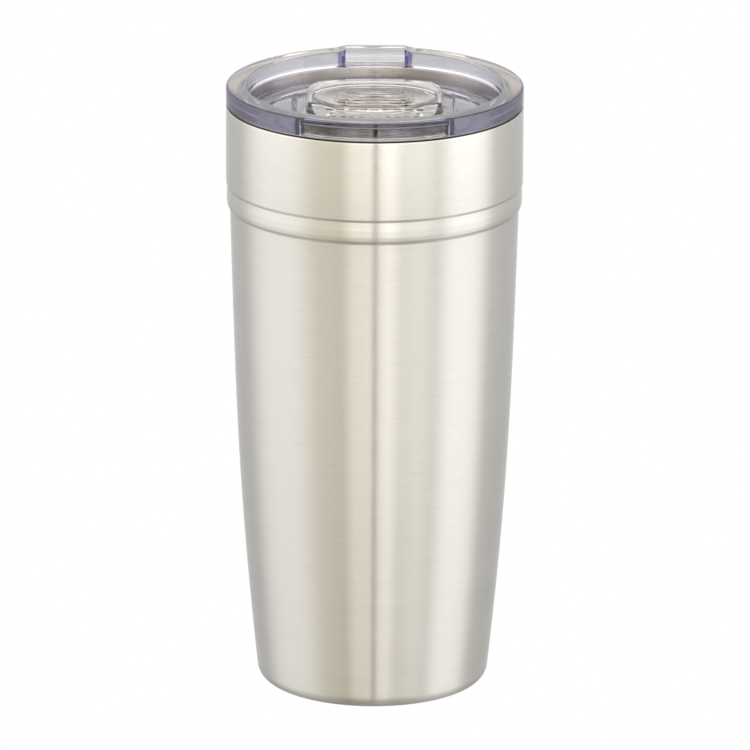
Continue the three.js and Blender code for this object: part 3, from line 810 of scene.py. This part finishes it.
def back_flat():
    """The flat at the back of the well, in front of the lift tab, with flared sides."""
    plan = mirrored([BACK_FLAT_NEAR, BACK_FLAT_FAR])
    return prism(plan, BACK_FLAT_Z, TOP_Z + 2 * MM, 0.4 * MM)


def side_land(side):
    """The raised part of the sunken floor on one side of the slider."""
    half = math.degrees(math.acos(SIDE_LAND_X / SIDE_LAND_RADIUS))
    middle = 90 - 90 * side
    outline = arc_outline(0, 0, SIDE_LAND_RADIUS, middle - half, middle + half, 40)
    return prism(outline, FLOOR_Z - SIDE_LAND_RISE, FLOOR_Z + SIDE_LAND_RISE, 0.12 * MM)


def leg_openings(low, high, play, travel=0.0, bevel=0.0):
    """Cutters for the two slider legs between two heights, with play round each leg and over its travel."""
    half, (front, back) = LEG_HALF_WIDTH + play, LEG_Y
    return [
        block((x - half, front - play, low), (x + half, back + play + travel, high), bevel)
        for x in (-LEG_X, LEG_X)
    ]


def gasket_profile():
    """The gasket's section: a flat back in the groove and two sealing lips towards the mouth."""
    back = GROOVE_RADIUS + GASKET_PLAY
    lip = MOUTH_RADIUS - GASKET_PLAY
    low, high = GROOVE_LOW + GASKET_PLAY, GROOVE_HIGH - GASKET_PLAY
    return rounded(
        [
            (back, low, 0.2 * MM),
            (SKIRT_OUTER, low, 0.2 * MM),
            (lip, low + 0.7 * MM, 0.25 * MM),
            (SKIRT_OUTER, (low + high) / 2, 0.4 * MM),
            (lip, high - 0.7 * MM, 0.25 * MM),
            (SKIRT_OUTER, high, 0.2 * MM),
            (back, high, 0.2 * MM),
        ]
    )


def make_lid():
    """The clear lid body with its openings, and the gasket round its skirt."""
    through = (FLOOR_UNDER_Z - MM, FLOOR_Z + MM)
    slots = leg_openings(*through, SLOT_PLAY, TRAVEL)
    vent = prism(arc_outline(0, VENT_Y, VENT_RADIUS, 0, 345, 23), *through)
    drink_hole = prism(stadium(*DRINK_HOLE_HALF, DRINK_HOLE_Y), *through)
    pockets = merged([flange_pocket(*FRONT_POCKET), flange_pocket(*BACK_POCKET)])
    mesh = combine(
        lathe("lid_shell", lid_profile()),
        [merged([side_land(-1), side_land(1)]), lift_tab()],
        [merged([drink_hole, vent, *slots]), pockets, back_flat()],
    )
    add_object("lid_shell", mesh, "lid", "lid_body", LID_PLASTIC)
    ring = lathe("gasket_ring", gasket_profile())
    add_object("gasket_ring", ring, "lid", "lid_gasket", SILICONE)


# ---- the slider ----


def slider_outline(count):
    """The slider's plan, evenly spaced: short straight sides and full, rounded ends."""
    w, back, front = SLIDER_HALF_WIDTH, SLIDER_BACK, SLIDER_FRONT
    x, y = SLIDER_FULLNESS * w, (1 - SLIDER_FULLNESS) * SLIDER_CORNER
    ends = [
        bezier((w, back - SLIDER_CORNER), (w, back - y), (x, back), (0, back), 60),
        bezier((0, back), (-x, back), (-w, back - y), (-w, back - SLIDER_CORNER), 60),
        bezier((-w, front + SLIDER_CORNER), (-w, front + y), (-x, front), (0, front), 60),
        bezier((0, front), (x, front), (w, front + y), (w, front + SLIDER_CORNER), 60),
    ]
    dense = [Vector(p) for end in ends for p in end]
    dense.append(dense[0])
    lengths = [(b - a).length for a, b in zip(dense, dense[1:])]
    spacing = sum(lengths) / count
    points, travelled, i = [], 0.0, 0
    for k in range(count):
        while travelled + lengths[i] < k * spacing:
            travelled += lengths[i]
            i += 1
        share = (k * spacing - travelled) / max(lengths[i], 1e-9)
        points.append(dense[i].lerp(dense[i + 1], share))
    return points


def inset(points, distance):
    """The outline moved inwards along its own normals."""
    count = len(points)
    moved = []
    for i, p in enumerate(points):
        along = (points[(i + 1) % count] - points[i - 1]).normalized()
        moved.append(p + Vector((-along.y, along.x)) * distance)
    return moved


def crown(y):
    """Height of the slider's top along its length, before the scoop is cut in."""
    brow_drop = BROW_DROP * smoothstep(*BROW_Y, y)
    front_drop = FRONT_SLOPE * max(0.0, BROW_Y[1] - y)
    tail_drop = TAIL_DROP * smoothstep(*TAIL_Y, y)
    return CROWN_Z - brow_drop - front_drop - tail_drop


def scoop_floor(y):
    """Height of the scoop's floor along its middle."""
    return SCOOP_Z - SCOOP.z * math.sqrt(1 - ((y - SCOOP_Y) / SCOOP.y) ** 2)


def grip_bars():
    """Two rows of short raised bars across the front slope."""
    bars = []
    for y, count, pitch, half_width in GRIP_BAR_ROWS:
        top = crown(y) + 0.3 * MM
        for i in range(count):
            x = (i - (count - 1) / 2) * pitch
            low = (x - half_width, y - GRIP_BAR_HALF, top - MM)
            high = (x + half_width, y + GRIP_BAR_HALF, top)
            bars.append(block(low, high, 0.15 * MM, segments=2))
    return bars


def slider_foot_z(x, y):
    """Underside of the slider's rim: high enough to pass the ledge at the back end of the travel."""
    outside = math.hypot(x, y + TRAVEL) > INNER_RADIUS or y > INNER_BACK
    return SLIDER_STEP if outside else SLIDER_LOW


def slider_shell():
    """The slider before the scoop: a crowned top, rounded edges and a hollow underside."""
    count, fillet = 220, SLIDER_EDGE
    outline = slider_outline(count)
    middle = Vector((0, -1.5 * MM))
    rings = []

    def ring(points, height):
        """One more ring of the skin, at a height that depends on the place."""
        rings.append([(p.x, p.y, height(p.x, p.y)) for p in points])

    def under(x, y):
        """Underside of the top: one skin below it, and deeper under the scoop."""
        inside = 1 - (x / SCOOP.x) ** 2 - ((y - SCOOP_Y) / SCOOP.y) ** 2
        return crown(y) - SLIDER_SKIN - SCOOP.z * smoothstep(-0.3, 0.6, inside)

    inner_edge = inset(outline, SLIDER_WALL)
    for k in range(1, 31):
        ring([middle.lerp(p, k / 30) for p in inner_edge], under)
    ring(inset(outline, SLIDER_WALL - 0.05 * MM), slider_foot_z)
    ring(inset(outline, 0.3 * MM), slider_foot_z)
    ring(outline, lambda x, y: slider_foot_z(x, y) + 0.3 * MM)
    for k in range(9):
        angle = math.pi / 2 * k / 8
        drop = fillet * (1 - math.sin(angle))
        ring(inset(outline, fillet * (1 - math.cos(angle))), lambda x, y, drop=drop: crown(y) - drop)
    edge = inset(outline, fillet)
    for k in range(47, 0, -1):
        ring([middle.lerp(p, k / 48) for p in edge], lambda x, y: crown(y))

    bm = bmesh.new()
    loops = [[bm.verts.new(spot) for spot in points] for points in rings]
    for low, high in zip(loops, loops[1:]):
        for i in range(count):
            j = (i + 1) % count
            bm.faces.new([low[i], low[j], high[j], high[i]])
    for loop, height in ((loops[0], under(*middle)), (loops[-1], crown(middle.y))):
        centre = bm.verts.new((middle.x, middle.y, height))
        for i in range(count):
            bm.faces.new([loop[i], loop[(i + 1) % count], centre])
    return finished(bm, "slider_moulding")


def slider_legs():
    """The snap legs: shanks through the floor slots, and the barbs that hold the retainer."""
    front, back = LEG_Y
    barb_top = LEG_BOTTOM_Z + BARB_HEIGHT
    shanks, barbs = [], []
    for side in (-1, 1):
        x0, x1 = sorted((side * (LEG_X - LEG_HALF_WIDTH), side * (LEG_X + LEG_HALF_WIDTH)))
        b0, b1 = sorted((side * LEG_X, side * (LEG_X + BARB_REACH)))
        shanks.append(block((x0, front, LEG_BOTTOM_Z), (x1, back, LEG_TOP_Z), 0.2 * MM))
        barbs.append(block((b0, front, LEG_BOTTOM_Z), (b1, back, barb_top), 0.2 * MM))
    return merged(shanks), merged(barbs)


def seal_wall():
    """The upright wall under the slider's front that holds the seal, up to the middle of the skin."""
    low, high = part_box("slider_seal")
    half_width, half_length = high.x + SEAL_PLAY, (high.y - low.y) / 2 + SEAL_PLAY
    outline = stadium(half_width + SEAL_WALL, half_length + SEAL_WALL, DRINK_HOLE_Y)
    outer = prism(outline, SLIDER_LOW, CROWN_Z)
    for vertex in outer.vertices:
        if vertex.co.z > SLIDER_LOW + MM:
            vertex.co.z = crown(vertex.co.y) - 0.9 * SLIDER_SKIN
    inner = prism(stadium(half_width, half_length, DRINK_HOLE_Y), SLIDER_LOW - MM, CROWN_Z)
    return combine(outer, [], [inner])


def wings():
    """The two low wings at the slider's sides, which run along the raised floor."""
    (inner, outer), (front, back) = WING_X, WING_Y
    return [
        block((x0, front, SLIDER_LOW), (x1, back, SLIDER_LOW + WING_HEIGHT), 0.4 * MM)
        for x0, x1 in ((-outer, -inner), (inner, outer))
    ]


def make_slider():
    """The slider moulding, the retainer bar on its legs and the seal pad in its front."""
    ridges = [rod(y, scoop_floor(y) + 0.15 * MM, RIDGE_HALF_WIDTH, RIDGE_RADIUS) for y in RIDGE_ROWS]
    scooped = combine(slider_shell(), [], [ball((0, SCOOP_Y, SCOOP_Z), SCOOP, 128, 64)])
    raised = merged([*wings(), *ridges, *grip_bars()])
    mesh = combine(scooped, [raised, *slider_legs(), seal_wall()], [])
    add_object("slider_moulding", mesh, "slider", "slider", SLIDER_PLASTIC)
    low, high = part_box("slider_retainer")
    holes = leg_openings(low.z - MM, high.z + MM, RETAINER_PLAY, bevel=0.2 * MM)
    bar = combine(block(low, high, 0.4 * MM), [], holes)
    add_object("retainer_bar", bar, "slider", "slider_retainer", SLIDER_PLASTIC)
    low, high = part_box("slider_seal")
    pad = smooth(prism(stadium(high.x, (high.y - low.y) / 2, DRINK_HOLE_Y), low.z, high.z, 0.3 * MM))
    add_object("closing_pad", pad, "slider", "slider_seal", SILICONE)


# ---- studio ----

# Softboxes round the tumbler: azimuth in degrees (0 is the camera's side, + to the right), half width,
# soft edge, and colour. Negative light stands for dark flags.
SOFTBOXES = (
    (-86, 7, 34, (0.35, 0.34, 0.355)),
    (-30, 14, 24, (0.04, 0.01, -0.04)),
    (-10, 3, 13, (0.48, 0.47, 0.46)),
    (7, 3, 12, (0.39, 0.38, 0.37)),
    (25, 8, 22, (0.44, 0.42, 0.405)),
    (78, 5, 25, (0.56, 0.56, 0.58)),
    (0.8, 0.8, 1.2, (-1.45, -1.52, -1.6)),
    (180, 40, 50, (-0.20, -0.18, -0.12)),
    (180, 10, 12, (0.22, 0.25, 0.27)),
)
# The shaded floor on the camera's side: azimuth, height above the horizon, half width, edge and colour.
FLOOR_SHADE = (8, -45, 6, 32, (-0.74, -0.75, -0.78))
ROOM = (0.808, 0.776, 0.694)  # colour between the softboxes
DARKEST = (0.05, 0.04, 0.03)
# Brightness of the whole tent by the height of the direction, from straight down (-1) to straight up (1).
LEVELS = ((-1, 0.30), (-0.5, 0.54), (-0.15, 1.00), (0.15, 1.34), (0.45, 1.60), (0.75, 1.15), (1, 0.6))
BRIGHTEST = 2  # what full white in the ramp of levels stands for
STAGE_RADIUS = 6
FLOOR_DROP = 0.0002  # below the foot ring


def emission(name, colour, strength):
    """A material that only glows."""
    made = bpy.data.materials.new(name)
    made.use_nodes = True
    tree = made.node_tree
    tree.nodes.clear()
    glow = add_node(tree, "ShaderNodeEmission")
    glow.inputs["Color"].default_value = (*colour, 1)
    glow.inputs["Strength"].default_value = strength
    output = add_node(tree, "ShaderNodeOutputMaterial")
    tree.links.new(glow.outputs["Emission"], output.inputs["Surface"])
    return made


def softbox(tree, direction, azimuth, half_width, edge, colour, height=0):
    """Light from one side: full inside its half width, then fading over its soft edge."""
    turn, lift = math.radians(azimuth), math.radians(height)
    level = math.cos(lift)
    facing = add_node(tree, "ShaderNodeVectorMath", operation="DOT_PRODUCT")
    facing.inputs[1].default_value = (math.sin(turn) * level, -math.cos(turn) * level, math.sin(lift))
    tree.links.new(direction, facing.inputs[0])
    fade = add_node(tree, "ShaderNodeMapRange", interpolation_type="SMOOTHSTEP")
    fade.inputs["From Min"].default_value = math.cos(math.radians(half_width + edge))
    fade.inputs["From Max"].default_value = math.cos(math.radians(half_width))
    tree.links.new(facing.outputs["Value"], fade.inputs["Value"])
    light = add_node(tree, "ShaderNodeVectorMath", operation="SCALE")
    light.inputs[0].default_value = colour
    tree.links.new(fade.outputs["Result"], light.inputs["Scale"])
    return light.outputs["Vector"]


def tent_level(tree, height):
    """Brightness of the tent by the height of the direction."""
    share = ranged(tree, height, 0, 1, -1, 1)
    ramp = add_node(tree, "ShaderNodeValToRGB")
    stops = ramp.color_ramp.elements
    while len(stops) < len(LEVELS):
        stops.new(0.5)
    for stop, (z, level) in zip(stops, LEVELS):
        stop.position = (z + 1) / 2
        stop.color = (*[level / BRIGHTEST] * 3, 1)
    tree.links.new(share, ramp.inputs["Fac"])
    return math_node(tree, "MULTIPLY", ramp.outputs["Color"], BRIGHTEST)


def make_world():
    """A light tent: a warm grey room with tall softboxes round it, brightest above the horizon."""
    world = bpy.data.worlds.new("studio")
    bpy.context.scene.world = world
    world.use_nodes = True
    tree = world.node_tree
    place = add_node(tree, "ShaderNodeTexCoord")
    flat = add_node(tree, "ShaderNodeVectorMath", operation="MULTIPLY")
    flat.inputs[1].default_value = (1, 1, 0)
    tree.links.new(place.outputs["Generated"], flat.inputs[0])
    unit = add_node(tree, "ShaderNodeVectorMath", operation="NORMALIZE")
    tree.links.new(flat.outputs["Vector"], unit.inputs[0])
    azimuth, height, half_width, edge, colour = FLOOR_SHADE
    lights = [softbox(tree, place.outputs["Generated"], azimuth, half_width, edge, colour, height)]
    lights += [softbox(tree, unit.outputs["Vector"], *box) for box in SOFTBOXES]
    total = add_node(tree, "ShaderNodeVectorMath", operation="ADD")
    total.inputs[0].default_value = ROOM
    for i, light in enumerate(lights):
        if i:
            before, total = total, add_node(tree, "ShaderNodeVectorMath", operation="ADD")
            tree.links.new(before.outputs["Vector"], total.inputs[0])
        tree.links.new(light, total.inputs[1])
    lit = add_node(tree, "ShaderNodeVectorMath", operation="MAXIMUM")
    lit.inputs[1].default_value = DARKEST
    tree.links.new(total.outputs["Vector"], lit.inputs[0])
    split = add_node(tree, "ShaderNodeSeparateXYZ")
    tree.links.new(place.outputs["Generated"], split.inputs["Vector"])
    background = tree.nodes["Background"]
    tree.links.new(lit.outputs["Vector"], background.inputs["Color"])
    tree.links.new(tent_level(tree, split.outputs["Z"]), background.inputs["Strength"])


def make_stage():
    """A white floor and a white tent behind it, which light nothing and show no reflection."""
    white = emission("paper_white", (1, 1, 1), 1.0)
    bm = bmesh.new()
    bmesh.ops.create_circle(bm, cap_ends=True, segments=96, radius=STAGE_RADIUS)
    floor_mesh = finished(bm, "floor")
    bm = bmesh.new()
    bmesh.ops.create_uvsphere(bm, u_segments=64, v_segments=32, radius=STAGE_RADIUS)
    tent_mesh = finished(bm, "tent")
    for name, mesh, height in (("floor", floor_mesh, -FLOOR_DROP), ("tent", tent_mesh, 0)):
        thing = bpy.data.objects.new(name, mesh)
        bpy.context.scene.collection.objects.link(thing)
        thing.location.z = height
        mesh.materials.append(white)
        thing.visible_glossy = False
        thing.visible_diffuse = False
        thing.visible_shadow = False
        thing.visible_transmission = False


def make_camera():
    """A long lens that looks down a little on the drinking side."""
    data = bpy.data.cameras.new("camera")
    data.sensor_width = 36
    data.lens = CAMERA_LENS
    data.clip_start = 0.1
    data.clip_end = 30
    camera = bpy.data.objects.new("camera", data)
    bpy.context.scene.collection.objects.link(camera)
    up = math.radians(CAMERA_ELEVATION)
    back = Vector((0, -math.cos(up), math.sin(up)))
    camera.location = CAMERA_TARGET + back * CAMERA_DISTANCE
    aim = (-back).to_track_quat("-Z", "Y").to_matrix()
    camera.rotation_euler = (aim @ Matrix.Rotation(math.radians(CAMERA_ROLL), 3, "Z")).to_euler()
    bpy.context.scene.camera = camera


make_cup()
make_lid()
make_slider()
make_world()
make_stage()
make_camera()

view = bpy.context.scene.view_settings
view.view_transform = "Standard"
# Light passes many walls of the clear lid and slider before it leaves them.
cycles = bpy.context.scene.cycles
cycles.max_bounces = 32
cycles.transmission_bounces = 32
cycles.glossy_bounces = 8

bpy.context.view_layer.update()
